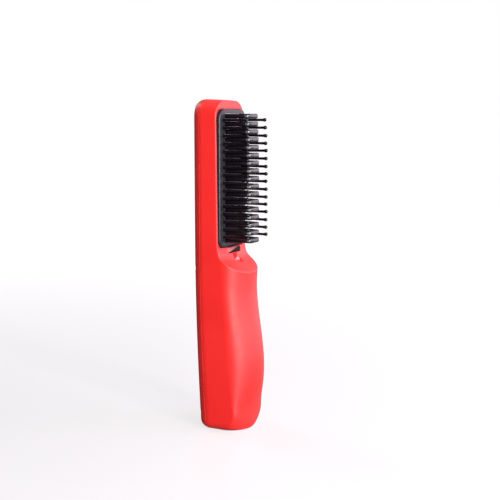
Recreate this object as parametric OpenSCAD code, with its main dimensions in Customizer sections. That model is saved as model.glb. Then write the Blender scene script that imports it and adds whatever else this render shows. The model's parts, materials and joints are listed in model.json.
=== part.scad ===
// Cordless heated straightening brush: finned hot plate, bristle frame, battery handle.
// Frame: +Z runs along the handle towards the head, -Y is the bristle side, +X is to the right
// when the bristles face the viewer. The origin is the centre of the flat base it stands on,
// and the head's front plane is Y = 0.

/* [Body] */
// Overall height
body_h = 210; // [208:1:214]
// Overall width
body_w = 37; // [37:0.5:39]
// Depth from the head's front plane to the back
head_d = 18.9; // [18.8:0.1:19.1]
// Wall thickness of both shells
wall = 2; // [1.8:0.1:2.1]
// Depth of the back cover
cover_d = 7.3; // [7.2:0.1:7.4]
// Corner radius of the head seen from the front
head_r = 11; // [9:0.5:12]
// Edge radius all round the base
base_r = 6; // [5.5:0.5:6]

/* [Brush] */
// Number of heated fins
fin_count = 17; // [15:1:17]
// Distance between fins along the head
fin_pitch = 4.84; // [4.8:0.02:4.84]
// Height of the lowest fin's middle
fin_z = 121.9; // [121.8:0.1:122]
// Thickness of a fin
fin_t = 3; // [2.6:0.1:3]
// Reach of the fin caps in front of the head's front plane
fin_reach = 18.7; // [17.5:0.1:18.7]
// Reach of the bristle tips in front of the same plane
pin_reach = 20.2; // [18:0.2:20.6]
// Bristle shaft diameter
pin_d = 1.5; // [1.2:0.1:1.5]
// Bristle ball tip diameter
ball_d = 2.3; // [1.8:0.1:2.4]

/* [Controls] */
// Button diameter
button_d = 6.4; // [6.2:0.1:6.4]
// Button travel
button_travel = 0.5; // [0.3:0.1:0.5]
// Length of the display lens across the scoop
lens_l = 17; // [15:0.5:17]

/* [Battery] */
// Cell diameter
cell_d = 21.4; // [18.4:0.1:21.4]
// Cell length
cell_l = 70.5; // [65:0.5:70.5]

/* [Hidden] */
$fn = 48;
gap = 0.15;                       // clearance between pieces of one body
half_w = body_w / 2;
bend_z = 125;                     // the back is straight above this height and leans forward below
bend_r = 2000;
cover_r = 5;                      // rounding of the cover's top
face_top = 199;                   // the head's front plane leans forward from here down to the scoop
face_lean = 0.8;
cover_cut = 4.8;                  // how far the cover's base edge is rounded
front_cut = 1.7;                  // how far the grip's front base edge is rounded
foot_h = 12;                      // below this height the grip's front corners get rounder
foot_in = 11.5;

// Bristle frame
frame_z0 = 117.4;
frame_z1 = 204;
frame_half = 17.3;
frame_front = 1.9;                // its rim in front of the head's front plane
frame_r = [5, 6.6];               // its lower and upper corner radius
pad_front = 2.4;                  // its raised middle, which the fins pass through
pad_back = 1.4;
pad_half = 15.2;
skirt_half = 16;
skirt_wall = 0.8;
skirt_back = 3.2;
hook_half = 5;
pin_x = 12.6;
pin_foot_d = 2.2;
pin_fall = 0.8;                   // how much less the top pins reach
pin_fall_from = 10;               // index of the last pin with the full reach
post_d = 3;
posts = [[13.4, 121.2], [-13.4, 121.2], [12.9, 200], [-12.9, 200]];

// Heating stack, from the front backwards
fin_foot_half = 10.7;
fin_tip_half = 5.2;
cap_l = 3.2;                      // length of a fin's insulating cap
fin_fall = 1.4;                   // how much less the top fin reaches
fin_fall_from = 9;                // index of the last fin with the full reach
cap_end_r = 2;                    // rounding of a cap's ends
plate_half = 11;
plate_z = [119.8, 201.4];
plate_t = 2.4;
heater_half = 8;
heater_l = 36;
heater_t = 2.5;
heater_zs = [122.4, 162.6];
sheet_t = 0.4;
clamp_t = 0.8;
clamp_half = 14.9;
plate_y = -pad_back;
heater_y = plate_y + plate_t;
sheet_y = heater_y + heater_t;
clamp_y = sheet_y + sheet_t;
stack_back = clamp_y + clamp_t;

// Thumb scoop, the button in it and the display above it
scoop_top = frame_z0 - 0.1;
scoop_step = 0.9;                  // the scoop starts this far in front of its upright axis' circle
scoop_start = 3;                  // height of its steep upper part
scoop_lean = 8;
scoop_r = 8;
scoop_slope = 35;
scoop_crown = 2;
scoop_wall = 2.6;
crown_r = pow(half_w, 2) / (2 * scoop_crown);
scoop_reach = 30;
button_tilt = 38;
button_y = -4.87;
button_z = 110.6;
button_drop = 0.4;                // edge of the cap below the scoop's surface
dome = 1.3;
well_d = 7.8;
well_depth = 0.8;
flange_d = 7.4;
flange_depth = 2.9;               // depths are measured down the button's axis
flange_t = 0.8;
switch_depth = 4.4;
switch_side = 5.2;
switch_t = 1.5;
plunger_d = 2.4;
control_depth = switch_depth + switch_t;
control_t = 1;
control_half = 8.4;
control_run = [-6, 6.4];
control_post = 6.6;
lens_tilt = 9;
lens_h = 3.6;
lens_y = -3.2;
lens_z = 115.2;
display_depth = 2.6;
display_t = 1.4;

// Handle
cell_y = -3;
cell_z = 16;
cradle_t = 1.1;
cradle_top = 76;
tab_t = 0.3;
tab_half = 3.6;
board_y = 9;
board_t = 1.6;
board_half = 10;
board_z = [5.8, 98];
board_posts = [[7.6, 94.5], [-7.6, 94.5], [7.6, 30], [-7.6, 30]];
port_y = 1.6;
port_half = [4.47, 1.6];
port_z = [0.5, 7.8];
port_skin = 0.3;
port_board_y = port_y + port_half[1] + 0.05;
port_board_t = 1;
port_board_top = 13;
lead_y = 8.3;
lead_d = 1.4;
lead_foot = 92;
shield_y = 13;
cover_screws_at = [[14.2, 10.5], [-14.2, 10.5], [14.2, 104], [-14.2, 104], [0, 205]];
boss_d = 5;
seat = 2;                         // screw head seat behind the parting line
screw_d = 2;
screw_head_d = 3.8;
screw_head_t = 1.2;
screw_l = 8;

RED = "#e3262b";
BLACK = "#1c1c20";
GREY = "#6d6d72";
STEEL = "#b9bcc2";
GREEN = "#1d6b3c";
COPPER = "#c98a3c";
WHITE = "#e9e6de";

// ---- the body's outer shape ----
function lean(z) = z < bend_z ? -pow(bend_z - z, 2) / (2 * bend_r) : 0;
function split_y(z) = head_d - cover_d + lean(z);
function round_in(r, d) = d >= r ? 0 : r - sqrt(max(0, r * r - pow(r - d, 2)));

// Smooth curve through a list of [height, value] pairs
function cubic(a, b, c, d, t) =
    0.5 * (2 * b + (c - a) * t + (2 * a - 5 * b + 4 * c - d) * t * t + (3 * b - a - 3 * c + d) * pow(t, 3));
function at(list, i) = list[max(0, min(len(list) - 1, i))][1];
function through(list, z, i = 0) =
    i < len(list) - 2 && z > list[i + 1][0] ? through(list, z, i + 1) :
    cubic(at(list, i - 1), at(list, i), at(list, i + 1), at(list, i + 2),
        (z - list[i][0]) / (list[i + 1][0] - list[i][0]));

// Reach of the grip's front, by height
grip_reach = [[0, 16.3], [15, 17.6], [30, 20.8], [45, 21.5], [60, 19.9], [75, 17.4], [90, 16], [105, 16.9],
    [120, 18.6]];
// Where the flat sides end and the grip's round front starts
function crease(z) = 12.9 - 0.152 * z + 0.00057 * z * z;

// Solid through a stack of outlines with equal numbers of points
module loft(rings) {
    n = len(rings[0]);
    m = len(rings);
    polyhedron(
        points = [for (ring = rings) each ring],
        faces = concat(
            [[for (i = [0:n - 1]) i]],
            [for (j = [0:m - 2], i = [0:n - 1])
                [j * n + i, (j + 1) * n + i, (j + 1) * n + (i + 1) % n, j * n + (i + 1) % n]],
            [[for (i = [n - 1:-1:0]) (m - 1) * n + i]]),
        convexity = 6);
}

// The cover's bow from a side (t = 0) to the middle (t = 1), as a cubic Bezier curve
function bezier(a, b, c, d, t) =
    pow(1 - t, 3) * a + 3 * pow(1 - t, 2) * t * b + 3 * (1 - t) * t * t * c + pow(t, 3) * d;
function bow(w, d, t) = [bezier(w, w - 1.5, w - 4, 0, t), bezier(0, 0.86 * d, d, d, t)];

// One level outline of the slab: flat front, bowed back
function slab_ring(z, inset, n) =
    let (base = round_in(base_r, z), w = half_w - inset - round_in(head_r, body_h - z) - base,
        d = cover_d - inset - round_in(cover_r, body_h - z) - base * cover_cut / base_r, y = split_y(z),
        front = inset - face_lean * min(1, max(0, (face_top - z) / (face_top - scoop_top))))
    concat([[w, front, z], [w, y, z]],
        [for (i = [1:n]) let (p = bow(w, d, i / n)) [p[0], y + p[1], z]],
        [for (i = [n - 1:-1:1]) let (p = bow(w, d, i / n)) [-p[0], y + p[1], z]],
        [[-w, y, z], [-w, front, z]]);

slab_levels = concat([0, 0.4, 1, 2.2, 4, 6], [for (z = [15:12:123]) z],
    [for (t = [0:15:90]) body_h - head_r * (1 - sin(t))]);
module slab(inset = 0, n = 12) {
    loft([for (z = slab_levels) if (z >= inset && z <= body_h - inset) slab_ring(z, inset, n)]);
}

// One level outline of the grip: flat sides, half-elliptical front
function grip_ring(z, inset, n) =
    let (base = round_in(base_r, z), w = half_w - inset - base, foot = pow(max(0, 1 - z / foot_h), 2),
        c = crease(z) - foot_in * foot - inset / 2,
        a = through(grip_reach, z) - inset - base * front_cut / base_r)
    concat([[-w, 4, z]],
        [for (i = [0:n]) let (t = -90 + 180 * i / n) [w * sin(t), -c - (a - c) * cos(t), z]],
        [[w, 4, z]]);

grip_levels = concat([0, 0.4, 1, 2.2, 4, 6], [for (z = [8:5:118]) z]);
module grip(inset = 0, n = 32) {
    loft([for (z = grip_levels) if (z >= inset) grip_ring(z, inset, n)]);
}
module outer() {
    slab();
    grip();
}
module inner() {
    slab(wall, 6);
    grip(wall, 16);
}

// Everything in front of the thumb scoop. It is turned about a far upright axis, so the scoop is bowed
module scoop_space(deeper = 0) {
    last = 90 - scoop_slope;
    start = [scoop_step + scoop_start * tan(scoop_lean), -scoop_start];
    centre = start + scoop_r * [cos(scoop_lean), sin(scoop_lean)];
    arc = [for (k = [0:9]) let (t = scoop_lean + (last - scoop_lean) * k / 9)
        centre - scoop_r * [cos(t), sin(t)]];
    end = centre - scoop_r * [cos(last), sin(last)];
    drop = (scoop_reach - end[0]) * tan(scoop_slope);
    translate([0, crown_r - scoop_crown + deeper * cos(button_tilt), scoop_top - deeper * sin(button_tilt)])
        rotate_extrude($fn = 180)
            translate([crown_r, 0])
                polygon(concat([[scoop_step, 40], [scoop_step, 0]], arc,
                    [[scoop_reach, end[1] - drop], [scoop_reach, 40]]));
}
// The half space in front of the parting line, or of one moved back from it
module front_side(shift = 0) {
    steps = concat([-5], [for (z = [10:15:130]) z], [body_h + 5]);
    translate([-40, 0, 0]) rotate([90, 0, 90]) linear_extrude(80)
        polygon(concat([for (z = steps) [split_y(z) + shift, z]], [[-60, body_h + 5], [-60, -5]]));
}

// ---- small helpers ----
module on_button_axis(depth = 0) {
    translate([0, button_y, button_z]) rotate([90 - button_tilt, 0, 0]) translate([0, 0, -depth]) children();
}
module on_lens_axis(depth = 0) {
    translate([0, lens_y, lens_z]) rotate([90 - lens_tilt, 0, 0]) translate([0, 0, -depth]) children();
}
// Rectangle with rounded corners, r = [lower radius, upper radius]
module rounded(half, z0, z1, r) {
    polygon([[r[0] - half, z0], [half - r[0], z0], [half, z0 + r[0]], [half, z1 - r[1]],
        [half - r[1], z1], [r[1] - half, z1], [-half, z1 - r[1]], [-half, z0 + r[0]]]);
    for (side = [-1, 1]) {
        translate([side * (half - r[0]), z0 + r[0]]) circle(r[0]);
        translate([side * (half - r[1]), z1 - r[1]]) circle(r[1]);
    }
}
// An upright outline given depth from y0 back to y1
module deep(y0, y1) {
    translate([0, y1, 0]) rotate([90, 0, 0]) linear_extrude(y1 - y0) children();
}
module rod(x, z, y0, y1, d) {
    translate([x, y1, z]) rotate([90, 0, 0]) cylinder(h = y1 - y0, d = d);
}
module box(x, y, z) {
    translate([x[0], y[0], z[0]]) cube([x[1] - x[0], y[1] - y[0], z[1] - z[0]]);
}
module pill(l, h) {
    square([l - h, h], center = true);
    for (side = [-1, 1]) translate([side * (l - h) / 2, 0]) circle(d = h);
}
module wire(points, d) {
    for (i = [0:len(points) - 2]) {
        v = points[i + 1] - points[i];
        translate(points[i]) rotate([0, acos(v[2] / norm(v)), atan2(v[1], v[0])])
            cylinder(h = norm(v), d = d);
    }
    for (i = [1:len(points) - 2]) translate(points[i]) sphere(d = d * 1.04);
}
// A screw along +Z, whose head starts below Z = 0
module screw(l, d, head_d, head_t) {
    cylinder(h = l, d = d);
    translate([0, 0, -head_t]) difference() {
        cylinder(h = head_t, d = head_d);
        for (turn = [0, 90]) rotate(turn)
            translate([0, 0, head_t / 4]) cube([head_d * 0.55, 0.5, head_t], center = true);
    }
}

// ---- shells ----
module front_housing() {
    color(RED) difference() {
        intersection() {
            outer();
            front_side();
        }
        scoop_space();
        difference() {
            inner();
            scoop_space(scoop_wall);
            housing_posts();
        }
        deep(-4, 0) rounded(frame_half + 2 * gap, frame_z0 - 2 * gap, frame_z1 + 2 * gap, frame_r);
        deep(-4, wall + 0.5)
            rounded(skirt_half + gap, frame_z0 + 1 - gap, frame_z1 - 1 + gap, frame_r - [1, 1]);
        for (p = cover_screws_at) rod(p[0], p[1], split_y(p[1]) - screw_l + seat - 0.5, 20, screw_d);
        on_button_axis(well_depth) cylinder(h = 8, d = well_d);
        on_button_axis(8) cylinder(h = 8, d = button_d + gap);
        on_lens_axis(6) linear_extrude(10) pill(lens_l + gap, lens_h + gap);
        translate([0, port_y, -1]) linear_extrude(6)
            pill(2 * (port_half[0] + port_skin), 2 * (port_half[1] + port_skin));
    }
}
// Posts and ribs that stand inside the front housing
module housing_posts() {
    for (p = cover_screws_at) rod(p[0], p[1], split_y(p[1]) - screw_l, 20, boss_d);
    for (x = [-control_post, control_post]) translate([x, 0, 0]) on_button_axis(control_depth)
        cylinder(h = control_depth, d = 2.6);
    for (z = [24, 64], side = [0, 1]) mirror([side, 0, 0])
        box([cell_d / 2 + cradle_t + 0.1, 18], [cell_y - 2, cell_y + 0.8], [z, z + 1.6]);
    for (side = [0, 1]) mirror([side, 0, 0])
        box([8.1, 9.6], [port_board_y - 2, port_board_y + 3], [1, 12]);
}
module back_cover() {
    color(RED) difference() {
        intersection() {
            slab();
            difference() {
                translate([-30, -30, -5]) cube([60, 60, body_h + 10]);
                front_side(gap);
            }
        }
        difference() {
            slab(wall, 6);
            cover_posts();
        }
        for (p = cover_screws_at) {
            rod(p[0], p[1], 0, 30, screw_d + 0.3);
            rod(p[0], p[1], split_y(p[1]) + seat, 30, screw_head_d + 0.4);
        }
        for (p = board_posts) rod(p[0], p[1], 0, board_y + screw_l - 3, screw_d);
    }
}
// Posts that stand inside the back cover
module cover_posts() {
    for (p = cover_screws_at) rod(p[0], p[1], 0, 30, boss_d);
    for (p = board_posts) rod(p[0], p[1], board_y + board_t, 30, 4.4);
    for (z = [128, 160, 192]) box([-12, 12], [shield_y + sheet_t, 20], [z, z + 1.2]);
}
module cover_screws() {
    color(STEEL) for (p = cover_screws_at) translate([p[0], split_y(p[1]) + seat, p[1]]) rotate([90, 0, 0])
        screw(screw_l, screw_d, screw_head_d, screw_head_t);
}

// ---- brush ----
function fin_at(i) = fin_z + i * fin_pitch;
module bristle_frame() {
    color(BLACK) difference() {
        union() {
            deep(-frame_front, 0) rounded(frame_half, frame_z0, frame_z1, frame_r);
            deep(-pad_front, 0) rounded(pad_half, frame_z0 + 2.8, frame_z1 - 2.8, frame_r - [1.6, 2.4]);
            deep(-1, skirt_back) rounded(skirt_half, frame_z0 + 1, frame_z1 - 1, frame_r - [1, 1]);
            for (z = [frame_z0 + 0.1, frame_z1 - 1])
                box([-hook_half, hook_half], [wall + 0.6, wall + 1.2], [z, z + 0.9]);
            for (x = [-pin_x, pin_x], i = [0:fin_count - 2])
                rod(x, fin_at(i + 0.5), -pad_front - 0.6, -2, 2.4);
        }
        deep(-pad_back, 10)
            rounded(skirt_half - skirt_wall, frame_z0 + 1.8, frame_z1 - 1.8, frame_r - [1.6, 1.6]);
        for (i = [0:fin_count - 1])
            box([-fin_foot_half - gap, fin_foot_half + gap], [-6, 0],
                [fin_at(i) - fin_t / 2 - gap, fin_at(i) + fin_t / 2 + gap]);
        for (x = [-pin_x, pin_x], i = [0:fin_count - 2]) rod(x, fin_at(i + 0.5), -6, 0, pin_d);
    }
    color(BLACK) for (p = posts) difference() {
        rod(p[0], p[1], -pad_back, clamp_y, post_d);
        rod(p[0], p[1], clamp_y - 4, clamp_y + 1, 1.4);
    }
}
function pin_reach_at(i) =
    pin_reach - pin_fall * pow(max(0, i - pin_fall_from) / (fin_count - 2 - pin_fall_from), 2);
module bristles(side) {
    color(BLACK) for (i = [0:fin_count - 2]) {
        ball_y = ball_d / 2 - pin_reach_at(i);
        rod(side * pin_x, fin_at(i + 0.5), ball_y, -pad_back, pin_d);
        rod(side * pin_x, fin_at(i + 0.5), -pad_back, -pad_back + 0.6, pin_foot_d);
        translate([side * pin_x, ball_y, fin_at(i + 0.5)]) sphere(d = ball_d);
    }
}
module bristles_left() { bristles(-1); }
module bristles_right() { bristles(1); }

// Outline of half a fin's taper, from the plate (y0) to a place in front of it
function fin_half_at(reach) = fin_foot_half + (fin_tip_half - fin_foot_half) * pow(reach / fin_reach, 2);
function fin_reach_at(i) =
    fin_reach - fin_fall * pow(max(0, i - fin_fall_from) / (fin_count - 1 - fin_fall_from), 2);
module fin_outline(from, to) {
    steps = [for (i = [0:6]) from + (to - from) * i / 6];
    polygon(concat(
        [for (s = steps) [fin_half_at(s), -s]],
        [for (i = [6:-1:0]) [-fin_half_at(steps[i]), -steps[i]]]));
}
module heat_fins() {
    color(BLACK) for (i = [0:fin_count - 1]) translate([0, 0, fin_at(i) - fin_t / 2])
        linear_extrude(fin_t) fin_outline(pad_back, fin_reach_at(i) - cap_l);
}
// Cap with a rounded nose and rounded ends, on a fin of that reach
module fin_cap(reach) {
    nose = fin_t / 2;
    tip = fin_half_at(reach) - cap_end_r;
    intersection() {
        translate([0, 0, -nose]) linear_extrude(fin_t) intersection() {
            fin_outline(reach - cap_l, reach);
            union() {
                translate([-20, cap_end_r - reach]) square([40, cap_l]);
                translate([-tip, -reach]) square([2 * tip, cap_l]);
                for (side = [-1, 1]) translate([side * tip, cap_end_r - reach]) circle(cap_end_r);
            }
        }
        translate([-20, 0, 0]) rotate([90, 0, 90]) linear_extrude(40) {
            translate([nose - reach, 0]) circle(nose);
            translate([nose - reach, -nose]) square([cap_l, fin_t]);
        }
    }
}
module fin_caps() {
    color(GREY) for (i = [0:fin_count - 1]) translate([0, 0, fin_at(i)]) fin_cap(fin_reach_at(i));
}

// ---- heating stack ----
module hot_plate() {
    color(STEEL) box([-plate_half, plate_half], [plate_y, heater_y], plate_z);
}
module heater(z) {
    color(WHITE) box([-heater_half, heater_half], [heater_y, sheet_y], [z, z + heater_l]);
}
module heater_lower() { heater(heater_zs[0]); }
module heater_upper() { heater(heater_zs[1]); }
// Holes for the heater leads, in the sheet and in the clamp plate
module lead_holes() {
    for (p = [[-7, 144], [7, 184]]) rod(p[0], p[1], sheet_y - 1, stack_back + 1, lead_d + 0.4);
}
module mica_sheet() {
    color("#c9b98a") difference() {
        box([-plate_half, plate_half], [sheet_y, clamp_y], plate_z);
        lead_holes();
    }
}
module heater_clamp() {
    color(STEEL) difference() {
        box([-clamp_half, clamp_half], [clamp_y, stack_back], plate_z);
        lead_holes();
        for (p = posts) rod(p[0], p[1], clamp_y - 1, stack_back + 1, 1.8);
        for (z = [135, 165, 195]) box([-3, 3], [clamp_y - 1, stack_back + 1], [z - 4, z + 4]);
    }
}
module clamp_screws() {
    color(STEEL) for (p = posts) translate([p[0], stack_back, p[1]]) rotate([90, 0, 0]) screw(4, 1.4, 2.8, 1);
}
module thermistor() {
    color(BLACK) box([-1.6, 1.6], [stack_back, stack_back + 2], [148, 152]);
    color(STEEL) box([-4, 4], [stack_back, stack_back + 0.4], [152, 154]);
}
module thermal_fuse() {
    color(STEEL) translate([-10, stack_back + 1.8, 130]) cylinder(h = 9, d = 3.6);
}
module heat_shield() {
    color("#d8d3c4") box([-13, 13], [shield_y, shield_y + sheet_t], [122, 198]);
}

// ---- battery and boards ----
module battery_cell() {
    color("#2f6fb0") translate([0, cell_y, cell_z]) cylinder(h = cell_l, d = cell_d);
}
module battery_cradle() {
    r = cell_d / 2 + 0.1;
    color(BLACK) difference() {
        translate([0, cell_y, cell_z - tab_t - cradle_t])
            cylinder(h = cradle_top - cell_z + cradle_t, r = r + cradle_t - 0.1);
        translate([0, cell_y, cell_z - tab_t]) cylinder(h = cell_l, r = r);
        translate([-20, cell_y + 1, cell_z - tab_t]) cube([40, 20, cell_l]);
        translate([-20, board_y - 1.5, 0]) cube([40, 20, cell_l]);
        for (z = [34, 58]) translate([0, cell_y - 20, z]) rotate([-90, 0, 0]) cylinder(h = 20, d = 12);
    }
}
// Nickel strip on an end of the cell, with a leg on the main board
module battery_tab(z, leg) {
    color(STEEL) {
        box([-tab_half, tab_half], [cell_y - 3, board_y], [z, z + tab_t]);
        box([-tab_half, tab_half], [board_y - tab_t, board_y], [min(z, z + leg), max(z + tab_t, z + leg)]);
    }
}
module battery_tab_top() { battery_tab(cell_z + cell_l, 4); }
module battery_tab_base() { battery_tab(cell_z - tab_t, -4); }
module main_board() {
    color(GREEN) difference() {
        box([-board_half, board_half], [board_y, board_y + board_t], board_z);
        for (p = board_posts) rod(p[0], p[1], 0, 20, screw_d + 0.2);
    }
}
module board_parts() {
    back = board_y + board_t;
    color(BLACK) {
        box([-5, 2], [back, back + 1.1], [50, 57]);
        box([-6, -1], [back, back + 0.9], [66, 71]);
        box([1.5, 6.5], [back, back + 1.6], [65, 70]);
        box([-7, -3], [back, back + 1], [78, 84]);
    }
    color(GREY) box([0, 6], [back, back + 3], [77, 83]);
    color(COPPER) for (x = [-6, -3, 0, 3, 6]) box([x - 0.8, x + 0.8], [back, back + 0.8], [60, 61.2]);
}
module board_screws() {
    color(STEEL) for (p = board_posts) translate([p[0], board_y, p[1]]) rotate([-90, 0, 0])
        screw(screw_l - 3.6, screw_d, 3.4, 1);
}
module charge_board() {
    color(GREEN) box([-8, 8], [port_board_y, port_board_y + port_board_t], [2.8, port_board_top]);
    color(BLACK) box([-3, 1], [port_board_y - 1, port_board_y], [9, 12]);
}
module usb_shell() {
    color(STEEL) translate([0, port_y, port_z[0]]) difference() {
        linear_extrude(port_z[1] - port_z[0]) pill(2 * port_half[0], 2 * port_half[1]);
        translate([0, 0, -1]) linear_extrude(port_z[1] - port_z[0])
            pill(2 * port_half[0] - 2 * port_skin, 2 * port_half[1] - 2 * port_skin);
    }
}
module usb_tongue() {
    color(BLACK) box([-3.3, 3.3], [port_y - 0.35, port_y + 0.35], [1.3, port_z[1] - 1]);
}

// ---- controls ----
module control_board() {
    color(GREEN) difference() {
        on_button_axis(control_depth + control_t)
            translate([-control_half, control_run[0], 0])
                cube([2 * control_half, control_run[1] - control_run[0], control_t]);
        for (x = [-control_post, control_post]) translate([x, 0, 0]) on_button_axis(10)
            cylinder(h = 8, d = 1.8);
    }
}
module control_screws() {
    color(STEEL) for (x = [-control_post, control_post])
        translate([x, 0, 0]) on_button_axis(control_depth + control_t) screw(3.4, 1.4, 2.6, 0.9);
}
module switch_body() {
    color(STEEL) on_button_axis(control_depth) difference() {
        translate([-switch_side / 2, -switch_side / 2, 0]) cube([switch_side, switch_side, switch_t]);
        translate([0, 0, 0.2]) cylinder(h = 3, d = plunger_d + 0.16);
    }
}
module switch_plunger() {
    low = switch_depth + switch_t - 0.2 - button_travel - 0.1;
    color(WHITE) on_button_axis(low) cylinder(h = low - flange_depth - flange_t, d = plunger_d);
}
module power_button() {
    ball = (pow(button_d / 2, 2) + pow(dome, 2)) / (2 * dome);
    color(RED) {
        on_button_axis(flange_depth) intersection() {
            cylinder(h = flange_depth - button_drop + dome, d = button_d);
            translate([0, 0, flange_depth - button_drop + dome - ball]) sphere(ball, $fn = 120);
        }
        on_button_axis(flange_depth + flange_t) cylinder(h = flange_t, d = flange_d);
    }
}
module display_lens() {
    color(BLACK) intersection() {
        on_lens_axis(6) linear_extrude(10) pill(lens_l, lens_h);
        difference() {
            scoop_space(scoop_wall - 0.4);
            scoop_space(gap);
        }
    }
}
module display_module() {
    color(GREY) on_lens_axis(display_depth + display_t)
        translate([-lens_l / 2 + 0.6, -lens_h / 2, 0]) cube([lens_l - 1.2, lens_h - 0.4, display_t]);
}
module control_ribbon() {
    route = [[0.15, 105.6], [4.2, 103.4], [7.2, 99.4], [8.8, 96.8], [8.8, 93.5]];
    color(COPPER) translate([-0.5, 0, 0]) rotate([90, 0, 90]) linear_extrude(3)
        polygon(concat(route, [for (i = [4:-1:0]) route[i] + [0.2, 0.1]]));
}
// ---- wiring ----
module heater_lead_lower() {
    fuse_y = stack_back + 1.8;
    color("#b02020") {
        wire([[-7, sheet_y, 144], [-7, fuse_y, 144], [-10, fuse_y, 142], [-10, fuse_y, 139]], lead_d);
        wire([[-10, fuse_y, 130], [-10, fuse_y, 126], [-4.2, lead_y, 116], [-4.2, lead_y, lead_foot]],
            lead_d);
    }
}
module heater_lead_upper() {
    color("#b02020") wire([[7, sheet_y, 184], [7, lead_y, 184], [7, lead_y, 124], [4.2, lead_y, 116],
        [4.2, lead_y, lead_foot]], lead_d);
}
module sensor_lead() {
    sensor_y = stack_back + 1;
    color(WHITE)
        wire([[0, sensor_y, 148], [0, sensor_y, 145], [-1.5, lead_y, 140], [-1.5, lead_y, lead_foot]], 1);
}

front_housing();
back_cover();
bristle_frame();
bristles_left();
bristles_right();
heat_fins();
fin_caps();
hot_plate();
heater_lower();
heater_upper();
mica_sheet();
heater_clamp();
clamp_screws();
thermistor();
thermal_fuse();
heat_shield();
battery_cell();
battery_cradle();
battery_tab_top();
battery_tab_base();
main_board();
board_parts();
board_screws();
charge_board();
usb_shell();
usb_tongue();
control_board();
control_screws();
switch_body();
switch_plunger();
power_button();
display_lens();
display_module();
control_ribbon();
heater_lead_lower();
heater_lead_upper();
sensor_lead();
cover_screws();
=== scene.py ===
import json
import math

import bmesh
import bpy
from mathutils import Matrix, Vector


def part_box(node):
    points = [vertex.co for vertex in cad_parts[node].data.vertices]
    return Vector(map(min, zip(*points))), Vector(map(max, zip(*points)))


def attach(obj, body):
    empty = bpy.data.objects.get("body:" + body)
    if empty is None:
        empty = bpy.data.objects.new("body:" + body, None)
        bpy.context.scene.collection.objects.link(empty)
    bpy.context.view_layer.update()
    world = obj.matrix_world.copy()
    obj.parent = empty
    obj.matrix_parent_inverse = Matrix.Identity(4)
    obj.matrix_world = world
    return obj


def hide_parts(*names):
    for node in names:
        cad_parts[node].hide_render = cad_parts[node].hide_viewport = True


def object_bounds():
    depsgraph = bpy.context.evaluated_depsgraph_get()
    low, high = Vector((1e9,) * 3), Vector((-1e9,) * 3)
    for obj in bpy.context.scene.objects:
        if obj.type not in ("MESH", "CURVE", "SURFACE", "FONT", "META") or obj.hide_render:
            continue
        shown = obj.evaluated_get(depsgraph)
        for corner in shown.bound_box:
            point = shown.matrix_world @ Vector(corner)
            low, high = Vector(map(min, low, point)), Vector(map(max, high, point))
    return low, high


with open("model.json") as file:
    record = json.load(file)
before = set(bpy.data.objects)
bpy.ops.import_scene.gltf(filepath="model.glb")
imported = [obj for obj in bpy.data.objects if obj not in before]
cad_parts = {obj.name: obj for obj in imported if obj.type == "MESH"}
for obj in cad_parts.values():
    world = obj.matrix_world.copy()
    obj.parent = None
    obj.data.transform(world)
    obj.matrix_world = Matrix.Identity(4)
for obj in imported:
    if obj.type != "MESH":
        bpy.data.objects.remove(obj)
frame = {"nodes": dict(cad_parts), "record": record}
CAD_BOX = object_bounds()

MM = 0.001


def mm(*values):
    """A point given in millimetres, as a vector in metres."""
    return Vector(values) * MM


# ---------------------------------------------------------------- camera, stage and light, in metres
CAMERA_TURN, CAMERA_TILT = math.radians(27.5), math.radians(7.6)
CAMERA_AIM, CAMERA_AWAY = Vector((0, -0.0142, 0.1155)), 0.632
FOCAL_LENGTH, SENSOR_WIDTH = 72, 36   # in millimetres
FLOOR_PROFILE = [(0.001, 0), (0.3, 0), (0.6, 0), (1.2, 0), (2.0, 0), (2.6, 0.12), (2.95, 0.5), (3.05, 1.2),
                 (3.05, 3.0)]
FLOOR_SPOKES = 64
FLOOR_GAP = 0.00005                   # the floor lies this far under the foot
PAINTED_SHADOW_AT = (-0.15, 0.25, 0)           # the floor's glow is dimmest here, as a painted shadow beside the brush
SHADE_NEAR, SHADE_FAR = 0.1, 0.9      # distances from there between which the floor gets brighter
GLOW_NEAR, GLOW_FAR = 0.67, 0.95


def add_camera():
    flat = math.cos(CAMERA_TILT)
    forward = Vector((math.cos(CAMERA_TURN) * flat, math.sin(CAMERA_TURN) * flat, -math.sin(CAMERA_TILT)))
    camera = bpy.data.objects.new("camera", bpy.data.cameras.new("camera"))
    camera.data.lens = FOCAL_LENGTH
    camera.data.sensor_width = SENSOR_WIDTH
    camera.data.clip_start = 0.01
    camera.location = CAMERA_AIM - forward * CAMERA_AWAY
    camera.rotation_euler = forward.to_track_quat("-Z", "Y").to_euler()
    bpy.context.scene.collection.objects.link(camera)
    bpy.context.scene.camera = camera


def link(name, mesh):
    piece = bpy.data.objects.new(name, mesh)
    bpy.context.scene.collection.objects.link(piece)
    return piece


def mesh_of(name, points, faces):
    mesh = bpy.data.meshes.new(name)
    mesh.from_pydata([tuple(p) for p in points], [], faces)
    mesh.polygons.foreach_set("use_smooth", [True] * len(mesh.polygons))
    mesh.update()
    return link(name, mesh)


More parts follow.
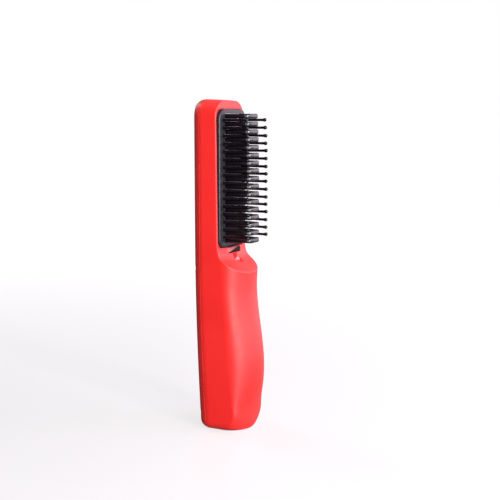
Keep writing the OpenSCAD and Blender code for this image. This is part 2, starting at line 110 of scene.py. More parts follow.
def add_stage():
    """A pale floor that runs up into a backdrop all round, and glows a little more away from the object:
    its dimmer glow beside the brush is a painted shadow.
    """
    points, faces, rings = [], [], []
    for radius, height in FLOOR_PROFILE:
        rings.append([len(points) + i for i in range(FLOOR_SPOKES)])
        for i in range(FLOOR_SPOKES):
            angle = math.tau * i / FLOOR_SPOKES
            points.append((radius * math.cos(angle), radius * math.sin(angle), height))
    for low, high in zip(rings, rings[1:]):
        for i in range(FLOOR_SPOKES):
            k = (i + 1) % FLOOR_SPOKES
            faces.append((low[i], low[k], high[k], high[i]))
    faces.append(tuple(reversed(rings[0])))
    floor = mesh_of("floor", points, faces)
    floor.location.z = CAD_BOX[0][2] - FLOOR_GAP
    floor.visible_diffuse = False
    floor.visible_glossy = False
    material = bpy.data.materials.new("floor")
    material.use_nodes = True
    tree = material.node_tree
    surface = tree.nodes["Principled BSDF"]
    surface.inputs["Base Color"].default_value = (0.20, 0.195, 0.198, 1)
    surface.inputs["Roughness"].default_value = 0.32
    surface.inputs["Emission Color"].default_value = (1, 0.985, 1, 1)
    # painted shadow: the glow's strength grows with the distance from its darkest point beside the brush
    distance = tree.nodes.new("ShaderNodeVectorMath")
    distance.operation = "DISTANCE"
    distance.inputs[1].default_value = PAINTED_SHADOW_AT
    glow = tree.nodes.new("ShaderNodeMapRange")
    glow.inputs["From Min"].default_value = SHADE_NEAR
    glow.inputs["From Max"].default_value = SHADE_FAR
    glow.inputs["To Min"].default_value = GLOW_NEAR
    glow.inputs["To Max"].default_value = GLOW_FAR
    place = tree.nodes.new("ShaderNodeTexCoord")
    tree.links.new(place.outputs["Object"], distance.inputs[0])
    tree.links.new(distance.outputs["Value"], glow.inputs["Value"])
    tree.links.new(glow.outputs["Result"], surface.inputs["Emission Strength"])
    floor.data.materials.append(material)


def add_area(name, place, target, size, watts, colour=(1, 1, 1)):
    light = bpy.data.lights.new(name, "AREA")
    light.shape = "RECTANGLE"
    light.size, light.size_y = size
    light.energy = watts
    light.color = colour
    lamp = bpy.data.objects.new(name, light)
    lamp.location = place
    lamp.rotation_euler = (Vector(target) - Vector(place)).to_track_quat("-Z", "Y").to_euler()
    bpy.context.scene.collection.objects.link(lamp)


def add_light():
    world = bpy.data.worlds.new("studio")
    bpy.context.scene.world = world
    world.use_nodes = True
    world.node_tree.nodes["Background"].inputs["Color"].default_value = (1, 1, 1, 1)
    world.node_tree.nodes["Background"].inputs["Strength"].default_value = 0.13
    middle = (0, 0, 0.11)
    add_area("key", (0.3, -1.1, 0.5), middle, (0.9, 0.7), 15, (1, 0.85, 1))
    add_area("spot", (-0.43, -0.95, 0.5), middle, (0.16, 0.16), 9, (1, 0.95, 1))
    add_area("right", (1.2, -0.55, 0.45), middle, (1.0, 1.2), 9, (1, 0.88, 1))
    add_area("left", (-0.95, -1.1, 0.2), middle, (0.5, 0.9), 33)
    add_area("back", (0.35, 1.2, 1.0), middle, (0.4, 0.4), 7)


add_camera()
add_stage()
add_light()


# ---------------------------------------------------------------- the body's shape, in millimetres
cover_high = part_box("back_cover")[1] / MM
frame_low, frame_high = (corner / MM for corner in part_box("bristle_frame"))
BODY_H = cover_high.z
HALF = cover_high.x
DEPTH = cover_high.y
COVER, COVER_R = 7.3, 5.0             # the back cover's depth and the rounding of its top
WALL = 2.0
HEAD_R = 11.0                         # rounding of the head's upper corners, seen from the front
BASE_R = 6.0
FRONT_CUT = 1.7 / BASE_R              # share of the base's rounding that the grip's front takes
FOOT_H, FOOT_IN = 12.0, 11.5          # below this height the grip's front corners get rounder
COVER_CUT = 0.8                       # share of the base's rounding that the cover's back takes
EDGE_R, SCOOP_EDGE_R = 0.8, 0.05      # rounding between the head's sides and its front, and in the scoop
LIP = 0.3                             # chamfer along the parting line
BEND_Z, BEND_R = 125, 2000            # below this height the back leans forward, on this radius
GRIP = [(0, 16.3), (15, 17.6), (30, 20.8), (45, 21.5), (60, 19.9), (75, 17.4), (90, 16), (105, 16.9),
        (120, 18.6)]                  # reach of the grip's front, by height
GRIP_TOP = 98                         # from here up the sections stand closer, for the scoop
# The scoop under the frame: a steep start, then an arc, then an even slope, all slightly crowned
SCOOP_TOP = frame_low.z - 0.1
SCOOP_STEP, SCOOP_START, SCOOP_LEAN = 0.9, 3.0, math.radians(8)
SCOOP_R, SCOOP_SLOPE, SCOOP_CROWN = 8.0, math.radians(35), 2.0
FACE_TOP, FACE_LEAN = 199.0, 0.8      # the head's front leans forward from here down to the scoop
BUTTON_TILT = 38
CROWN_R = HALF ** 2 / (2 * SCOOP_CROWN)


def lean(z):
    return -(BEND_Z - z) ** 2 / (2 * BEND_R) if z < BEND_Z else 0.0


def split_y(z):
    """Where the parting line between the shells runs."""
    return DEPTH - COVER + lean(z)


def round_in(radius, d):
    """How far a corner's arc lies inside its square corner, at distance d from the side."""
    return 0.0 if d >= radius else radius - math.sqrt(max(0.0, radius ** 2 - (radius - d) ** 2))


def through(table, z):
    """Smooth curve through [height, value] pairs."""
    last = len(table) - 1
    i = 0
    while i < last - 1 and z > table[i + 1][0]:
        i += 1
    a, b, c, d = (table[max(0, min(last, k))][1] for k in (i - 1, i, i + 1, i + 2))
    t = (z - table[i][0]) / (table[i + 1][0] - table[i][0])
    return 0.5 * (2 * b + (c - a) * t + (2 * a - 5 * b + 4 * c - d) * t * t
                  + (3 * b - a - 3 * c + d) * t ** 3)


def crease(z):
    """Where the flat sides end and the grip's round front starts."""
    return 12.9 - 0.152 * z + 0.00057 * z * z


def scoop_y(x, z, deeper=0.0):
    """Y of the thumb scoop's surface, or of one moved down the button's axis."""
    back = deeper * math.cos(math.radians(BUTTON_TILT))
    drop = max(0.0, SCOOP_TOP - deeper * math.sin(math.radians(BUTTON_TILT)) - z)
    turn = math.sin(SCOOP_LEAN) + max(0.0, drop - SCOOP_START) / SCOOP_R
    last = math.cos(SCOOP_SLOPE)
    reach = SCOOP_STEP + min(drop, SCOOP_START) * math.tan(SCOOP_LEAN)
    reach += SCOOP_R * (math.cos(SCOOP_LEAN) - math.sqrt(1 - min(turn, last) ** 2))
    reach += SCOOP_R * max(0.0, turn - last) / math.tan(SCOOP_SLOPE)
    return CROWN_R - SCOOP_CROWN + back - math.sqrt((CROWN_R + reach) ** 2 - x * x)


def soft_max(a, b, width):
    """The larger of two values, with a rounded step where they meet."""
    h = max(width - abs(a - b), 0.0) / width
    return max(a, b) + h * h * width / 4


def front_y(x, z, t, w, inset, base):
    """Y of the front at height z, where the section is w wide and its corners are rounded by base."""
    edge_r = EDGE_R - (EDGE_R - SCOOP_EDGE_R) * min(1.0, max(0.0, (SCOOP_TOP + 2 - z) / 4))
    edge = round_in(edge_r, max(0.0, w - abs(x)))
    if z > SCOOP_TOP:
        return inset + edge - FACE_LEAN * min(1.0, max(0.0, (FACE_TOP - z) / (FACE_TOP - SCOOP_TOP)))
    c = crease(z) - FOOT_IN * max(0.0, 1 - z / FOOT_H) ** 2 - inset / 2
    a = through(GRIP, z) - inset - base * FRONT_CUT
    grip = -c - (a - c) * math.cos(t)
    return soft_max(grip, scoop_y(x, z, 1.3 * inset) + edge, 0.7)


def front_ring(z, inset, count):
    """The front housing's section at height z, open at the parting line."""
    base = round_in(BASE_R, z)
    w = HALF - inset - round_in(HEAD_R, BODY_H - z) - base
    front = []
    for i in range(count + 1):
        t = math.radians(-90 + 180 * i / count)
        x = w * math.sin(t)
        front.append((x, front_y(x, z, t, w, inset, base)))
    back = split_y(z)
    lip = LIP if inset == 0 else 0.0
    side = [(w - lip, back), (w - 0.3 * lip, back - 0.3 * lip), (w, back - lip)]
    side += [(w, back + (front[-1][1] - back) * k / 6) for k in range(1, 6)]
    ring = [(-x, y) for x, y in side] + front + side[::-1]
    return [(x, y, z) for x, y in ring]


def bow(w, d, t):
    """Half of the cover's section, from a side (t = 0) to the middle (t = 1)."""
    s = 1 - t
    x = s ** 3 * w + 3 * s * s * t * (w - 1.5) + 3 * s * t * t * (w - 4)
    y = 3 * s * s * t * 0.86 * d + 3 * s * t * t * d + t ** 3 * d
    return x, y


def cover_ring(z, inset, count):
    """The back cover's section at height z, open at the parting line."""
    base = round_in(BASE_R, z)
    w = HALF - inset - round_in(HEAD_R, BODY_H - z) - base
    d = COVER - inset - round_in(COVER_R, BODY_H - z) - base * COVER_CUT
    y0 = split_y(z)
    half = [bow(w, max(d, 0.05), i / count) for i in range(1, count + 1)]
    start = [(w, 0.15)] if inset else [(w - 0.3, 0.12), (w - 0.08, 0.22), (w - 0.02, 0.45)]
    start += [(x, max(y, 0.5 if not inset else 0.2)) for x, y in half]
    ring = start + [(-x, y) for x, y in start[-2::-1]]
    return [(x, y0 + y, z) for x, y in ring]


def shell(name, ring_of, outer_levels, low, high, counts):
    """A closed shell: an outer and an inner surface through level rings, joined along their open back."""
    inner_levels = [min(max(z, low), high) for z in outer_levels]
    for k in range(1, len(inner_levels)):
        if inner_levels[k] <= inner_levels[k - 1]:
            inner_levels[k] = inner_levels[k - 1] + 0.004
    points, faces = [], []

    def add(levels, inset, count):
        rows = []
        for z in levels:
            ring = ring_of(z, inset, count)
            rows.append(list(range(len(points), len(points) + len(ring))))
            points.extend(mm(*p) for p in ring)
        return rows

    outside = add(outer_levels, 0.0, counts[0])
    inside = add(inner_levels, WALL, counts[1])
    for below, above in zip(outside, outside[1:]):
        faces += [(below[i], below[i + 1], above[i + 1], above[i]) for i in range(len(below) - 1)]
    for below, above in zip(inside, inside[1:]):
        faces += [(below[i], above[i], above[i + 1], below[i + 1]) for i in range(len(below) - 1)]
    faces += [outside[0][::-1], outside[-1], inside[0], inside[-1][::-1]]
    for j in range(len(outside) - 1):
        faces.append((outside[j][0], outside[j + 1][0], inside[j + 1][0], inside[j][0]))
        faces.append((outside[j][-1], inside[j][-1], inside[j + 1][-1], outside[j + 1][-1]))
    faces.append((outside[0][0], inside[0][0], inside[0][-1], outside[0][-1]))
    faces.append((outside[-1][0], outside[-1][-1], inside[-1][-1], inside[-1][0]))
    return mesh_of(name, points, faces)


def loft(name, rings):
    """A closed solid through rings of equal numbers of points."""
    count = len(rings[0])
    points = [p for ring in rings for p in ring]
    faces = []
    for j in range(len(rings) - 1):
        for i in range(count):
            k = (i + 1) % count
            faces.append((j * count + i, j * count + k, (j + 1) * count + k, (j + 1) * count + i))
    faces.append(tuple(range(count))[::-1])
    faces.append(tuple((len(rings) - 1) * count + i for i in range(count)))
    return mesh_of(name, points, faces)


def lathe(name, profile, turns=48):
    """Turns (radius, height) pairs about Z. A radius of 0 closes an end."""
    points, faces, rows = [], [], []
    for radius, height in profile:
        if radius == 0:
            rows.append([len(points)] * turns)
            points.append(mm(0, 0, height))
        else:
            rows.append([len(points) + i for i in range(turns)])
            for i in range(turns):
                angle = math.tau * i / turns
                points.append(mm(radius * math.cos(angle), radius * math.sin(angle), height))
    for low, high in zip(rows, rows[1:]):
        for i in range(turns):
            k = (i + 1) % turns
            face = (low[i], low[k], high[k], high[i])
            faces.append(tuple(dict.fromkeys(face)))
    return mesh_of(name, points, faces)


def join(name, pieces):
    """One mesh object out of several, each taken where it stands."""
    mesh = bpy.data.meshes.new(name)
    build = bmesh.new()
    for piece in pieces:
        piece.data.transform(piece.matrix_basis)
        build.from_mesh(piece.data)
        bpy.data.objects.remove(piece)
    build.to_mesh(mesh)
    build.free()
    return link(name, mesh)


def outward(piece):
    """Turns every face's normal outwards."""
    build = bmesh.new()
    build.from_mesh(piece.data)
    bmesh.ops.recalc_face_normals(build, faces=build.faces)
    build.to_mesh(piece.data)
    build.free()


def cut(piece, cutter):
    """Takes cutter out of piece and removes it."""
    outward(piece)
    outward(cutter)
    tool = piece.modifiers.new("cut", "BOOLEAN")
    tool.operation = "DIFFERENCE"
    tool.solver = "EXACT"
    tool.object = cutter
    bpy.context.view_layer.update()
    depsgraph = bpy.context.evaluated_depsgraph_get()
    mesh = bpy.data.meshes.new_from_object(piece.evaluated_get(depsgraph))
    piece.modifiers.clear()
    piece.data = mesh
    bpy.data.objects.remove(cutter)


def sharpen(piece, degrees=32):
    """Shades smooth across gentle edges and sharp across the rest."""
    build = bmesh.new()
    build.from_mesh(piece.data)
    bmesh.ops.remove_doubles(build, verts=build.verts, dist=1e-7)
    for face in build.faces:
        face.smooth = True
    for edge in build.edges:
        edge.smooth = len(edge.link_faces) == 2 and edge.calc_face_angle(0) < math.radians(degrees)
    build.to_mesh(piece.data)
    build.free()


def place_on(piece, origin, tilt_degrees):
    """Turns +Z towards the front and up by that tilt, then moves the piece to origin."""
    piece.data.transform(Matrix.Rotation(math.radians(90 - tilt_degrees), 4, "X"))
    piece.data.transform(Matrix.Translation(mm(*origin)))
    return piece


def rounded_rect(half, z0, z1, r_low, r_high, steps=10):
    """Points of an upright rounded rectangle, as (x, z), counter-clockwise seen from the front."""
    corners = [(half - r_low, z0 + r_low, r_low, -90), (half - r_high, z1 - r_high, r_high, 0),
               (r_high - half, z1 - r_high, r_high, 90), (r_low - half, z0 + r_low, r_low, 180)]
    ring = []
    for x, z, r, start in corners:
        for k in range(steps + 1):
            angle = math.radians(start + 90 * k / steps)
            ring.append((x + r * math.cos(angle), z + r * math.sin(angle)))
    return ring


def pill(length, height):
    r = height / 2
    return rounded_rect(length / 2, -r, r, r, r, 16)


# ---------------------------------------------------------------- materials
class Paint:
    """A material under construction: its Principled shader and a few node helpers."""

    def __init__(self, name, **values):
        self.material = bpy.data.materials.new(name)
        self.material.use_nodes = True
        self.tree = self.material.node_tree
        self.shader = self.tree.nodes["Principled BSDF"]
        for key, value in values.items():
            self.shader.inputs[key.replace("_", " ")].default_value = value
        self.place = self.tree.nodes.new("ShaderNodeTexCoord").outputs["Object"]

    def noise(self, scale, detail=3.0, stretch=(1, 1, 1)):
        mapping = self.tree.nodes.new("ShaderNodeMapping")
        mapping.inputs["Scale"].default_value = stretch
        self.tree.links.new(self.place, mapping.inputs["Vector"])
        noise = self.tree.nodes.new("ShaderNodeTexNoise")
        noise.inputs["Scale"].default_value = scale
        noise.inputs["Detail"].default_value = detail
        self.tree.links.new(mapping.outputs["Vector"], noise.inputs["Vector"])
        return noise.outputs["Fac"]

    def spread(self, value, low, high):
        """Maps 0.3..0.7 of a noise to low..high."""
        ramp = self.tree.nodes.new("ShaderNodeMapRange")
        ramp.inputs["From Min"].default_value = 0.3
        ramp.inputs["From Max"].default_value = 0.7
        ramp.inputs["To Min"].default_value = low
        ramp.inputs["To Max"].default_value = high
        self.tree.links.new(value, ramp.inputs["Value"])
        return ramp.outputs["Result"]

    def colour(self, value, first, second):
        mix = self.tree.nodes.new("ShaderNodeMix")
        mix.data_type = "RGBA"
        mix.inputs["A"].default_value = (*first, 1)
        mix.inputs["B"].default_value = (*second, 1)
        self.tree.links.new(self.spread(value, 0, 1), mix.inputs["Factor"])
        self.tree.links.new(mix.outputs["Result"], self.shader.inputs["Base Color"])
        return self

    def rough(self, value, low, high):
        self.tree.links.new(self.spread(value, low, high), self.shader.inputs["Roughness"])
        return self

    def bump(self, value, height, strength=1.0):
        bump = self.tree.nodes.new("ShaderNodeBump")
        bump.inputs["Distance"].default_value = height
        bump.inputs["Strength"].default_value = strength
        self.tree.links.new(value, bump.inputs["Height"])
        self.tree.links.new(bump.outputs["Normal"], self.shader.inputs["Normal"])
        return self


def soft_touch(name, dark, light):
    """Matt plastic with a fine grain and a little sheen."""
    paint = Paint(name, Sheen_Weight=0.05, Sheen_Roughness=0.5, Specular_IOR_Level=0.5)
    paint.colour(paint.noise(35, 2), dark, light)
    paint.rough(paint.noise(260, 3), 0.46, 0.56)
    return paint.bump(paint.noise(2600, 2), 0.00002, 0.5).material


def moulded(name, dark, light, rough, grain=2200, **values):
    paint = Paint(name, **values)
    paint.colour(paint.noise(60, 2), dark, light)
    paint.rough(paint.noise(420, 3), rough - 0.04, rough + 0.05)
    return paint.bump(paint.noise(grain, 2), 0.00002, 0.4).material


def metal(name, base, rough, stretch=(1, 1, 40)):
    """Metal with faint drawn lines across its stretch."""
    paint = Paint(name, Metallic=1.0)
    lines = paint.noise(300, 3, stretch)
    paint.colour(lines, [0.85 * c for c in base], base)
    paint.rough(lines, rough - 0.05, rough + 0.08)
    return paint.bump(lines, 0.00001, 0.3).material


def glossy(name, dark, light, rough):
    paint = Paint(name, Coat_Weight=0.6, Coat_Roughness=0.05)
    paint.colour(paint.noise(25, 2), dark, light)
    paint.rough(paint.noise(500, 2), rough - 0.02, rough + 0.04)
    return paint.bump(paint.noise(900, 1), 0.000004, 0.3).material


PAINTED_REFLECTION_Z, PAINTED_REFLECTION_SLOPE = 0.1155, 0.22     # height in metres and slope of the line between the lens's dark window and its painted reflection


def smoked_with_painted_reflection(name):
    """A dark window whose upper left end is painted paler and pinkish: a painted reflection of the bright
    surroundings.
    """
    paint = Paint(name, Roughness=0.3, Specular_IOR_Level=0.02)
    split = paint.tree.nodes.new("ShaderNodeSeparateXYZ")
    paint.tree.links.new(paint.place, split.inputs["Vector"])
    along = paint.tree.nodes.new("ShaderNodeMath")
    along.operation = "MULTIPLY_ADD"
    along.inputs[1].default_value = PAINTED_REFLECTION_SLOPE
    paint.tree.links.new(split.outputs["X"], along.inputs[0])
    rise = paint.tree.nodes.new("ShaderNodeMath")
    rise.operation = "SUBTRACT"
    rise.inputs[0].default_value = PAINTED_REFLECTION_Z
    paint.tree.links.new(split.outputs["Z"], rise.inputs[1])
    paint.tree.links.new(rise.outputs["Value"], along.inputs[2])
    edge = paint.tree.nodes.new("ShaderNodeMapRange")
    edge.inputs["From Min"].default_value = -0.0003
    edge.inputs["From Max"].default_value = 0.0001
    paint.tree.links.new(along.outputs["Value"], edge.inputs["Value"])
    mix = paint.tree.nodes.new("ShaderNodeMix")
    mix.data_type = "RGBA"
    # A is the painted reflection's pale pink, B the window's own dark colour
    mix.inputs["A"].default_value = (0.38, 0.10, 0.12, 1)
    mix.inputs["B"].default_value = (0.012, 0.003, 0.004, 1)
    paint.tree.links.new(edge.outputs["Result"], mix.inputs["Factor"])
    paint.tree.links.new(mix.outputs["Result"], paint.shader.inputs["Base Color"])
    return paint.bump(paint.noise(900, 1), 0.000004, 0.3).material


LOOKS = {
    "red_shell": soft_touch("red_shell", (0.84, 0.014, 0.012), (0.89, 0.020, 0.017)),
    # painted shade: the cover is the same red plastic as the shell, coloured darker because it turns away
    # from the light
    "red_cover": soft_touch("red_cover", (0.74, 0.012, 0.010), (0.79, 0.017, 0.013)),
    "black_frame": moulded("black_frame", (0.011, 0.010, 0.013), (0.017, 0.016, 0.020), 0.36,
                           Specular_IOR_Level=0.32),
    "bristle": moulded("bristle", (0.004, 0.003, 0.005), (0.008, 0.006, 0.009), 0.3,
                       Specular_IOR_Level=0.22),
    "fin_coating": moulded("fin_coating", (0.004, 0.002, 0.004), (0.008, 0.004, 0.007), 0.34, 1600,
                           Specular_IOR_Level=0.22),
    "cap_grey": moulded("cap_grey", (0.016, 0.014, 0.016), (0.026, 0.024, 0.026), 0.26, 1200),
    "plate_metal": metal("plate_metal", (0.75, 0.76, 0.78), 0.35),
    "ceramic": moulded("ceramic", (0.86, 0.85, 0.82), (0.92, 0.91, 0.88), 0.6, 900),
    "mica": moulded("mica", (0.66, 0.58, 0.4), (0.76, 0.70, 0.54), 0.45, 700),
    "spring_steel": metal("spring_steel", (0.6, 0.6, 0.62), 0.3, (40, 1, 1)),
    "screw_steel": metal("screw_steel", (0.55, 0.55, 0.57), 0.3),
    "sensor": glossy("sensor", (0.015, 0.015, 0.015), (0.03, 0.03, 0.03), 0.2),
    "fuse_metal": metal("fuse_metal", (0.8, 0.8, 0.8), 0.2),
    "cell_wrap": glossy("cell_wrap", (0.04, 0.18, 0.46), (0.06, 0.22, 0.54), 0.25),
    "inner_black": moulded("inner_black", (0.016, 0.016, 0.018), (0.026, 0.026, 0.028), 0.5),
    "nickel": metal("nickel", (0.65, 0.63, 0.58), 0.3, (40, 1, 1)),
    "board_green": glossy("board_green", (0.015, 0.17, 0.06), (0.03, 0.24, 0.09), 0.3),
    "chip_black": moulded("chip_black", (0.016, 0.016, 0.018), (0.028, 0.028, 0.03), 0.45),
    "port_metal": metal("port_metal", (0.7, 0.7, 0.72), 0.22),
    "white_plastic": moulded("white_plastic", (0.8, 0.79, 0.75), (0.88, 0.87, 0.83), 0.5),
    "button_red": glossy("button_red", (0.74, 0.016, 0.018), (0.82, 0.024, 0.024), 0.10),
    "lens_black": smoked_with_painted_reflection("lens_black"),
    "display_grey": moulded("display_grey", (0.22, 0.22, 0.24), (0.3, 0.3, 0.32), 0.5),
    "ribbon": moulded("ribbon", (0.5, 0.28, 0.08), (0.66, 0.4, 0.16), 0.35),
    "wire_red": moulded("wire_red", (0.48, 0.02, 0.02), (0.6, 0.04, 0.03), 0.45),
}
SLOT_OF = {entry["node"]: entry["material_slot"] for entry in frame["record"]["subparts"]}


def dress(piece, slot_name, body="housing", stands_for=()):
    """Gives a finished piece its material and its body, and hides the CAD nodes it stands for."""
    piece.data.materials.clear()
    piece.data.materials.append(LOOKS[slot_name])
    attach(piece, body)
    if stands_for:
        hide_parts(*stands_for)
    return piece


for node_name, node in frame["nodes"].items():
    node.data.materials.clear()
    node.data.materials.append(LOOKS[SLOT_OF[node_name]])


# ---------------------------------------------------------------- shells, in millimetres
BUTTON_AT, BUTTON_D = (0, -4.87, 110.6), 6.4
BUTTON_DROP, BUTTON_DOME = 0.4, 1.3   # its edge lies below the scoop's surface and its middle above
FLANGE_R, FLANGE_DEPTH, FLANGE_T = 3.7, 2.9, 0.8
WELL_D, WELL_DEPTH = 7.8, 0.8
LENS_AT, LENS_TILT, LENS_L, LENS_H = (0, -3.2, 115.2), 9, 17.0, 3.6
TOP_FALL = 1.3                        # how far the head's top falls towards the front
RIM_HALF, RIM_Z0, RIM_Z1 = frame_high.x, frame_low.z, frame_high.z
RIM_R = (5.0, 6.6)                    # the frame's lower and upper corner radius
RIM_EDGE = 1.1                        # rounding of its outer edge
PORT_Y, PORT_L, PORT_H = 1.6, 9.6, 3.86
COVER_SCREWS = [(14.2, 10.5), (-14.2, 10.5), (14.2, 104), (-14.2, 104), (0, 205)]
SCREW_HEAD_R, SCREW_BORE_R = 2.1, 1.15
SCREW_SEAT = 2.0                      # the heads sit this far behind the parting line


def levels():
    """Heights of the shells' sections, closer together where the shape turns."""
    base = [BASE_R * (1 - math.cos(math.radians(a))) for a in range(0, 91, 9)]
    grip = [BASE_R + (GRIP_TOP - BASE_R) * k / 36 for k in range(1, 37)]
    scoop = [GRIP_TOP + (SCOOP_TOP - GRIP_TOP) * k / 62 for k in range(1, 63)]
    head = [SCOOP_TOP + 0.02 + (BODY_H - HEAD_R - SCOOP_TOP) * k / 30 for k in range(0, 31)]
    top = [BODY_H - HEAD_R * (1 - math.sin(math.radians(a))) for a in range(6, 91, 6)]
    return base + grip + scoop + head + top


def prism(name, outlines):
    """Closed solid through upright outlines: a list of (outline points, Y)."""
    return loft(name, [[mm(x, y, z) for x, z in outline] for outline, y in outlines])


def rim_outline(inset):
    return rounded_rect(RIM_HALF - inset, RIM_Z0 + inset, RIM_Z1 - inset,
                        max(RIM_R[0] - inset, 0.4), max(RIM_R[1] - inset, 0.4))


def droop(piece):
    """Lets the head's top fall gently towards the front."""
    for vertex in piece.data.vertices:
        height = max(0.0, vertex.co.z / MM - BODY_H + HEAD_R) / HEAD_R
        ahead = max(0.0, DEPTH - 3 - vertex.co.y / MM) / DEPTH
        vertex.co.z -= TOP_FALL * height * ahead ** 1.4 * MM


def frame_window():
    wide, narrow = rim_outline(-0.3), rim_outline(0.85)
    return prism("window", [(wide, -6), (wide, 0.5), (narrow, 0.5), (narrow, 5)])


def button_well():
    """A dished ring round the button and the bore that the button slides in."""
    rim, bore = WELL_D / 2, BUTTON_D / 2 + 0.12
    dish = [(0, 12), (rim + 2.8, 12), (rim + 2.8, 2.8), (rim + 1.4, 1.3), (rim + 0.7, 0.65),
            (rim + 0.3, 0.28)]
    wall = [(rim, -0.05), (rim - 0.22, -0.4), (rim - 0.35, -WELL_DEPTH)]
    hole = [(bore + 0.05, -WELL_DEPTH - 0.1), (bore, -WELL_DEPTH - 0.2), (bore, -7), (0, -7)]
    return place_on(lathe("well", dish + wall + hole, 96), BUTTON_AT, BUTTON_TILT)


def lens_window():
    flat = pill(LENS_L + 0.3, LENS_H + 0.3)
    hole = loft("lens_hole", [[mm(x, z, h) for x, z in flat] for h in (-5, 4)])
    return place_on(hole, LENS_AT, LENS_TILT)


def port_mouth():
    """The charging port's hole in the foot, flared at its mouth."""
    port = pill(PORT_L, PORT_H)
    flares = ((-1, 1.12), (0.1, 1.1), (0.6, 1.0), (4, 1.0))
    return loft("port_hole", [[mm(x * s, PORT_Y + y * s, z) for x, y in port] for z, s in flares])


def make_front_housing():
    housing = shell("front_housing_shell", front_ring, levels(), WALL, BODY_H - WALL, (112, 40))
    droop(housing)
    for cutter in (frame_window(), button_well(), lens_window(), port_mouth()):
        cut(housing, cutter)
    sharpen(housing)
    return dress(housing, "red_shell", stands_for=["front_housing"])


def make_back_cover():
    cover = shell("back_cover_shell", cover_ring, levels(), WALL, BODY_H - WALL, (36, 16))
    droop(cover)
    profile = [(0, 20), (SCREW_HEAD_R, 20), (SCREW_HEAD_R, SCREW_SEAT + 0.02), (SCREW_BORE_R, SCREW_SEAT),
               (SCREW_BORE_R, -3), (0, -3)]
    for x, z in COVER_SCREWS:
        hole = lathe("screw_hole", profile, 40)
        hole.data.transform(Matrix.Rotation(math.radians(-90), 4, "X"))
        hole.data.transform(Matrix.Translation(mm(x, split_y(z), z)))
        cut(cover, hole)
    sharpen(cover)
    return dress(cover, "red_cover", stands_for=["back_cover"])


make_front_housing()
make_back_cover()


# ---------------------------------------------------------------- brush, in millimetres
FIN_COUNT, FIN_PITCH, FIN_Z, FIN_T = 17, 4.84, 121.9, 3.0
FIN_FOOT, FIN_TIP, FIN_REACH, CAP_L = 10.7, 5.2, 18.7, 3.2
FIN_FALL, FIN_FALL_FROM = 1.4, 9      # the top fins reach less, from the tenth on, and so do the pins
PIN_X, PIN_REACH, PIN_D, BALL_D = 12.6, 20.2, 1.7, 2.4
PIN_FALL, PIN_FALL_FROM = 0.8, 10
PIN_SWAY = 0.2                        # how far a tip strays
CAP_END_R, CAP_NOSE_R = 2.0, 1.3      # a cap's rounding, seen from above and from the side
FIN_CORNER_R = 1.2
PAD_FRONT, PAD_BACK = 2.4, 1.4


def fin_z(i):
    return FIN_Z + i * FIN_PITCH


def on_pad(pin, i, side, y):
    """Points a turned piece forwards and sets it at the place of pin i on that side."""
    pin.data.transform(Matrix.Rotation(math.radians(90), 4, "X"))
    pin.data.transform(Matrix.Translation(mm(side * PIN_X, y, FIN_Z + (i + 0.5) * FIN_PITCH)))
    return pin


def make_bristle_frame():
    profile = [(5.2, -PAD_FRONT), (3.4, -PAD_FRONT), (1.9, -PAD_FRONT + 0.06)]
    for k in range(0, 7):
        angle = math.radians(90 - 15 * k)
        rise = RIM_EDGE * (1 - math.sin(angle))
        profile.append((RIM_EDGE * (1 - math.cos(angle)), rise - PAD_FRONT + 0.12))
    profile += [(0.0, 0.35), (0.12, 0.45), (1.0, 0.45), (1.0, 3.2), (1.8, 3.2), (1.8, -PAD_BACK)]
    rim = prism("bristle_frame_rim", [(rim_outline(inset), y) for inset, y in profile])
    slots = []
    for i in range(FIN_COUNT):
        z = fin_z(i)
        outline = rounded_rect(FIN_FOOT + 0.15, z - FIN_T / 2 - 0.15, z + FIN_T / 2 + 0.15, 1.0, 1.0, 4)
        slots.append(prism("slot", [(outline, -6), (outline, 0)]))
    cut(rim, join("slots", slots))
    profile = [(0, 6), (1.5, 6), (1.35, 0), (1.05, -0.5), (0.95, -0.8), (0, -0.8)]
    sockets = []
    for i in range(FIN_COUNT - 1):
        for side in (-1, 1):
            sockets.append(on_pad(lathe("socket", profile, 20), i, side, -PAD_FRONT))
    cut(rim, join("sockets", sockets))
    sharpen(rim)
    return dress(rim, "black_frame", stands_for=["bristle_frame"])


def fin_half(reach):
    """Half of a fin's width at that distance in front of the head."""
    return FIN_FOOT + (FIN_TIP - FIN_FOOT) * (reach / FIN_REACH) ** 2


def reach_of(i, reach, fall, fall_from, last):
    """Reach of the fin or pin i, which falls off towards the last one."""
    return reach - fall * (max(0, i - fall_from) / (last - fall_from)) ** 2


def blade(z, sections):
    """A fin's piece: rounded cross-sections (half width, half thickness, reach)."""
    rings = []
    for half, thick, reach in sections:
        r = min(FIN_CORNER_R, thick * 0.98)
        outline = rounded_rect(half, -thick, thick, r, r, 5)
        rings.append([mm(x, -reach, z + h) for x, h in outline])
    return loft("blade", rings)


def fin_sections(reach):
    steps = [PAD_BACK + (reach - CAP_L + 0.6 - PAD_BACK) * k / 8 for k in range(9)]
    return [(fin_half(s) - 0.12, FIN_T / 2 - 0.12, s) for s in steps]


def cap_sections(reach):
    start = reach - CAP_L
    sections = [(fin_half(start) - 0.1, FIN_T / 2 - 0.1, start), (fin_half(start), FIN_T / 2, start + 0.15)]
    for k in range(1, 16):
        ahead = CAP_END_R * (1 - math.sin(math.radians(6 * k)))
        half = fin_half(reach - ahead) - round_in(CAP_END_R, ahead)
        sections.append((half, FIN_T / 2 - min(round_in(CAP_NOSE_R, ahead), 1.1), reach - ahead))
    return sections


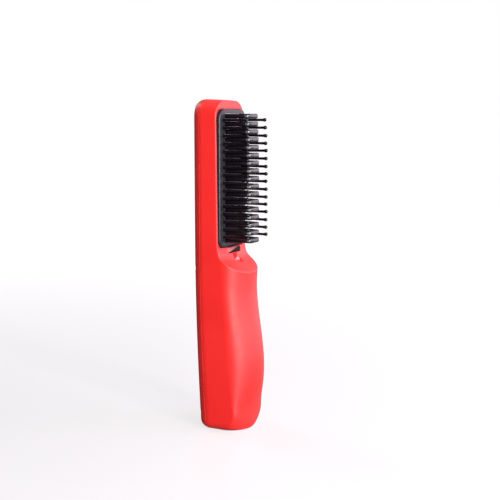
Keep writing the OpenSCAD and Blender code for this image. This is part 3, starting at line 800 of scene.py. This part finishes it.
def make_fins():
    fins, caps = [], []
    for i in range(FIN_COUNT):
        reach = reach_of(i, FIN_REACH, FIN_FALL, FIN_FALL_FROM, FIN_COUNT - 1)
        fins.append(blade(fin_z(i), fin_sections(reach)))
        caps.append(blade(fin_z(i), cap_sections(reach)))
    for name, pieces, slot_name, node in (("heat_fins_coated", fins, "fin_coating", "heat_fins"),
                                          ("fin_caps_rounded", caps, "cap_grey", "fin_caps")):
        piece = join(name, pieces)
        outward(piece)
        sharpen(piece, 40)
        dress(piece, slot_name, stands_for=[node])


def pin_profile(reach):
    """A flexible pin: foot, slim shaft and ball tip."""
    ball, r = BALL_D / 2, PIN_D / 2
    profile = [(0, -PAD_BACK), (1.1, -PAD_BACK), (1.1, 1.9), (0.98, 2.2), (r + 0.05, 2.7), (r, 3.4),
               (r - 0.05, reach - 2 * ball - 1.6), (r, reach - 2 * ball - 0.2)]
    for k in range(4, 12):
        angle = math.radians(-90 + 15 * k)
        profile.append((ball * math.cos(angle), reach - ball + ball * math.sin(angle)))
    return profile + [(0, reach)]


def make_bristles():
    for side, word in ((-1, "left"), (1, "right")):
        pins = []
        for i in range(FIN_COUNT - 1):
            reach = reach_of(i, PIN_REACH, PIN_FALL, PIN_FALL_FROM, FIN_COUNT - 2)
            pin = lathe("pin", pin_profile(reach), 20)
            sway = PIN_SWAY * math.sin(2.4 * i + side)
            nod = PIN_SWAY * math.sin(1.7 * i + 1 + side)
            for vertex in pin.data.vertices:
                bend = (vertex.co.z / (PIN_REACH * MM)) ** 2
                vertex.co.x += sway * bend * MM
                vertex.co.y += nod * bend * MM
            pins.append(on_pad(pin, i, side, 0))
        piece = join("bristles_%s_fine" % word, pins)
        outward(piece)
        sharpen(piece, 50)
        dress(piece, "bristle", stands_for=["bristles_" + word])


make_bristle_frame()
make_fins()
make_bristles()


# ---------------------------------------------------------------- controls
def make_button():
    """A domed cap with a rounded edge, over a thin flange that keeps it in."""
    r, edge, low = BUTTON_D / 2, 0.3, FLANGE_DEPTH + FLANGE_T
    profile = [(0, -low), (FLANGE_R - 0.1, -low), (FLANGE_R, 0.1 - low), (FLANGE_R, -FLANGE_DEPTH - 0.1),
               (FLANGE_R - 0.1, -FLANGE_DEPTH), (r, -FLANGE_DEPTH), (r, -BUTTON_DROP - edge)]
    for k in range(1, 6):
        angle = math.radians(12 * k)
        profile.append((r - edge + edge * math.cos(angle), -BUTTON_DROP - edge + edge * math.sin(angle)))
    start, foot = profile[-1]
    for k in range(1, 14):
        share = 1 - k / 13
        profile.append((start * share, foot + (BUTTON_DOME - BUTTON_DROP - foot) * (1 - share ** 2)))
    button = place_on(lathe("power_button_cap", profile, 96), BUTTON_AT, BUTTON_TILT)
    outward(button)
    sharpen(button, 40)
    return dress(button, "button_red", "power_button", ["power_button"])


def make_lens():
    """The lens follows the scoop: rings of a shrinking pill, each laid on the scoop's surface."""
    tilt = math.radians(LENS_TILT)
    rings = []
    sections = [(0.05, 1.6), (0.0, 0.2), (0.05, 0.08), (0.16, 0.03)]
    sections += [(0.16 + (LENS_H / 2 - 0.2) * k / 6, 0.03 - 0.02 * k / 6) for k in range(1, 7)]
    for inset, depth in sections:
        ring = []
        for x, h in pill(LENS_L - 2 * inset, LENS_H - 2 * inset):
            z = LENS_AT[2] + h * math.cos(tilt)
            ring.append(mm(x, scoop_y(x, z) + depth, z))
        rings.append(ring)
    lens = loft("display_lens_curved", rings)
    outward(lens)
    sharpen(lens, 40)
    return dress(lens, "lens_black", stands_for=["display_lens"])


make_button()
make_lens()

bpy.context.scene.view_settings.view_transform = "Standard"
